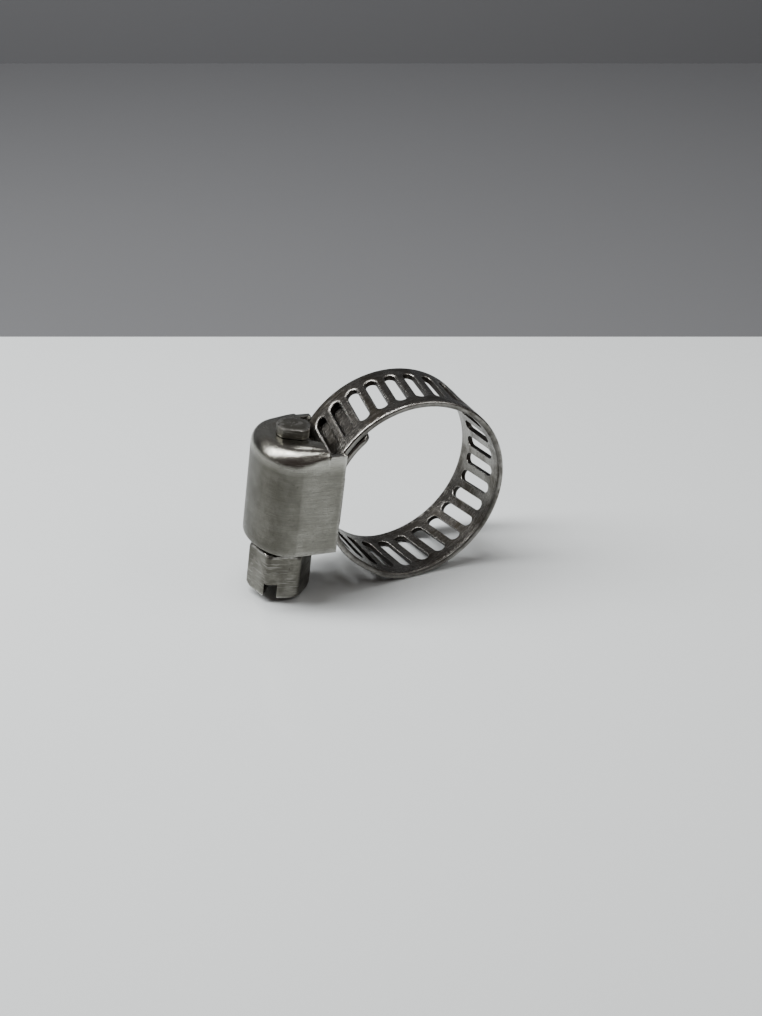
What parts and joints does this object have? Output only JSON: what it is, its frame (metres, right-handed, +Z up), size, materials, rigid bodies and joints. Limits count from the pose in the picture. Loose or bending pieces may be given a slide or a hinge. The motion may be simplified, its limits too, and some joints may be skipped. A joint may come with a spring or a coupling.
{
  "type": "hose clamp",
  "caption": "Small worm-drive hose clamp: slotted steel band, stamped housing and slotted hexagon worm screw that tightens the ring.",
  "frame": {"origin": "centre of the hose, which is the ring's centre, halfway across the band", "axes": "+Y along the hose, away from the viewer; +Z up as the clamp stands on its band and screw head; the housing is on the -X side and the screw leans 7.5 degrees from +Z towards +X"},
  "size_m": [0.0258, 0.0094, 0.0194],
  "materials": {
    "housing": "satin stamped stainless sheet with fine scratches",
    "screw": "zinc-grey turned steel, slightly mottled",
    "band": "dark satin stainless strip, brighter on its cut edges"
  },
  "bodies": {
    "clamp_body": {"housing": "housing", "band_fixed_end": "band"},
    "screw": {"worm_screw": "screw"},
    "tail": {"band_tail": "band"},
    "span_01": {"band_span_01": "band"},
    "span_02": {"band_span_02": "band"},
    "span_03": {"band_span_03": "band"},
    "span_04": {"band_span_04": "band"},
    "span_05": {"band_span_05": "band"},
    "span_06": {"band_span_06": "band"},
    "span_07": {"band_span_07": "band"},
    "span_08": {"band_span_08": "band"},
    "span_09": {"band_span_09": "band"},
    "span_10": {"band_span_10": "band"},
    "span_11": {"band_span_11": "band"},
    "span_12": {"band_span_12": "band"}
  },
  "joints": [
    {"name": "screw_turn", "type": "hinge", "parent": "clamp_body", "child": "screw", "pos_m": [-0.0117, 0, 0.00154], "axis": [0.1305, 0, 0.9914], "range_deg": [-360, 720]},
    {"name": "tail_travel", "type": "hinge", "parent": "clamp_body", "child": "tail", "pos_m": [0, 0, 0], "axis": [0, -1, 0], "range_deg": [-12.25, 24.5]},
    {"name": "bend_01", "type": "hinge", "parent": "clamp_body", "child": "span_01", "pos_m": [-0.00564, 0, -0.0068], "axis": [0, -1, 0], "range_deg": [-1.58, 3.17]},
    {"name": "bend_02", "type": "hinge", "parent": "span_01", "child": "span_02", "pos_m": [-0.00232, 0, -0.00905], "axis": [0, -1, 0], "range_deg": [-1.39, 2.77]},
    {"name": "bend_03", "type": "hinge", "parent": "span_02", "child": "span_03", "pos_m": [0.00167, 0, -0.0093], "axis": [0, -1, 0], "range_deg": [-1.13, 2.25]},
    {"name": "bend_04", "type": "hinge", "parent": "span_03", "child": "span_04", "pos_m": [0.00537, 0, -0.00777], "axis": [0, -1, 0], "range_deg": [-0.87, 1.74]},
    {"name": "bend_05", "type": "hinge", "parent": "span_04", "child": "span_05", "pos_m": [0.00811, 0, -0.00485], "axis": [0, -1, 0], "range_deg": [-0.67, 1.33]},
    {"name": "bend_06", "type": "hinge", "parent": "span_05", "child": "span_06", "pos_m": [0.00939, 0, -0.00105], "axis": [0, -1, 0], "range_deg": [-0.55, 1.1]},
    {"name": "bend_07", "type": "hinge", "parent": "span_06", "child": "span_07", "pos_m": [0.00898, 0, 0.00294], "axis": [0, -1, 0], "range_deg": [-0.54, 1.09]},
    {"name": "bend_08", "type": "hinge", "parent": "span_07", "child": "span_08", "pos_m": [0.00695, 0, 0.0064], "axis": [0, -1, 0], "range_deg": [-0.65, 1.29]},
    {"name": "bend_09", "type": "hinge", "parent": "span_08", "child": "span_09", "pos_m": [0.00367, 0, 0.00871], "axis": [0, -1, 0], "range_deg": [-0.84, 1.68]},
    {"name": "bend_10", "type": "hinge", "parent": "span_09", "child": "span_10", "pos_m": [-0.00027, 0, 0.00945], "axis": [0, -1, 0], "range_deg": [-1.09, 2.19]},
    {"name": "bend_11", "type": "hinge", "parent": "span_10", "child": "span_11", "pos_m": [-0.00416, 0, 0.00849], "axis": [0, -1, 0], "range_deg": [-1.36, 2.71]},
    {"name": "bend_12", "type": "hinge", "parent": "span_11", "child": "span_12", "pos_m": [-0.0073, 0, 0.006], "axis": [0, -1, 0], "range_deg": [-1.58, 3.16]}
  ],
  "couplings": [
    {"joint": "tail_travel", "follows": "screw_turn", "ratio": 0.03402},
    {"joint": "bend_01", "follows": "screw_turn", "ratio": 0.0043974},
    {"joint": "bend_02", "follows": "screw_turn", "ratio": 0.003848},
    {"joint": "bend_03", "follows": "screw_turn", "ratio": 0.0031304},
    {"joint": "bend_04", "follows": "screw_turn", "ratio": 0.0024209},
    {"joint": "bend_05", "follows": "screw_turn", "ratio": 0.0018538},
    {"joint": "bend_06", "follows": "screw_turn", "ratio": 0.0015311},
    {"joint": "bend_07", "follows": "screw_turn", "ratio": 0.0015108},
    {"joint": "bend_08", "follows": "screw_turn", "ratio": 0.0017966},
    {"joint": "bend_09", "follows": "screw_turn", "ratio": 0.0023371},
    {"joint": "bend_10", "follows": "screw_turn", "ratio": 0.003035},
    {"joint": "bend_11", "follows": "screw_turn", "ratio": 0.0037647},
    {"joint": "bend_12", "follows": "screw_turn", "ratio": 0.0043947}
  ]
}
